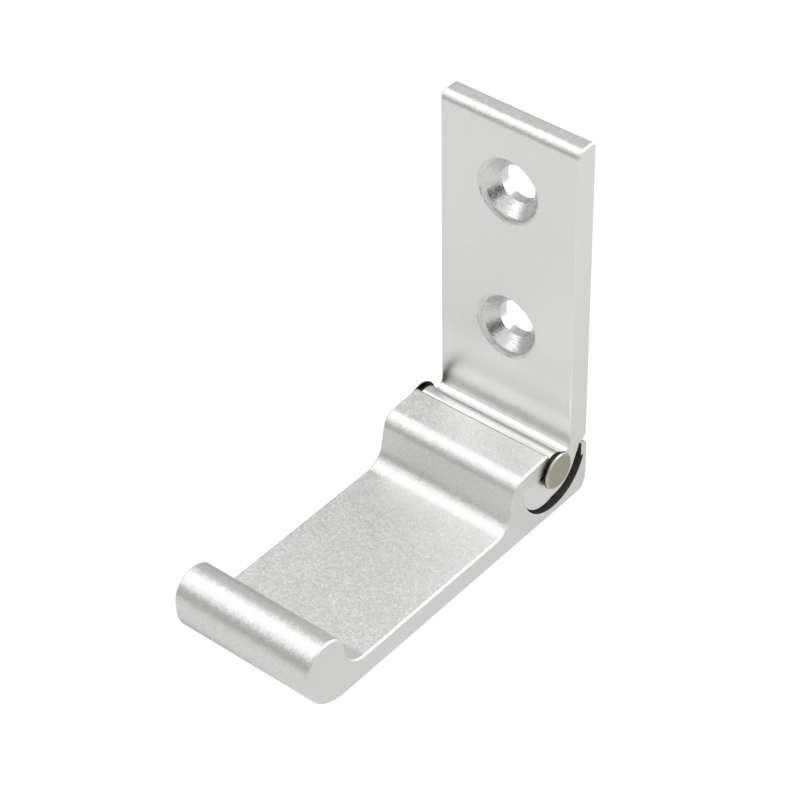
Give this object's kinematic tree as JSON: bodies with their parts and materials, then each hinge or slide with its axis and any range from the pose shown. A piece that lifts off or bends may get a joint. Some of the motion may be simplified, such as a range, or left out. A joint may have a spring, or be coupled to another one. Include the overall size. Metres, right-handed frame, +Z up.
{
  "type": "folding wall hook",
  "caption": "Wall hook of extruded aluminium: a screwed plate with countersunk holes and a flat arm with a raised front roll that folds up about a cross pin.",
  "frame": {"origin": "on the wall face, midway between the two screw holes", "axes": "+X along the hinge pin, +Y into the wall, +Z up along the plate"},
  "size_m": [0.022, 0.0521, 0.0521],
  "materials": {
    "satin_aluminium": "satin, blasted",
    "nickel_steel": "satin nickel plated"
  },
  "bodies": {
    "plate": {"wall_plate": "satin_aluminium", "hinge_pin": "nickel_steel"},
    "arm": {"hook_arm": "satin_aluminium"}
  },
  "joints": [
    {"name": "arm_fold", "type": "hinge", "parent": "plate", "child": "arm", "pos_m": [0, -0.00649, -0.02495], "axis": [-1, 0, 0], "range_deg": [0, 90]}
  ]
}
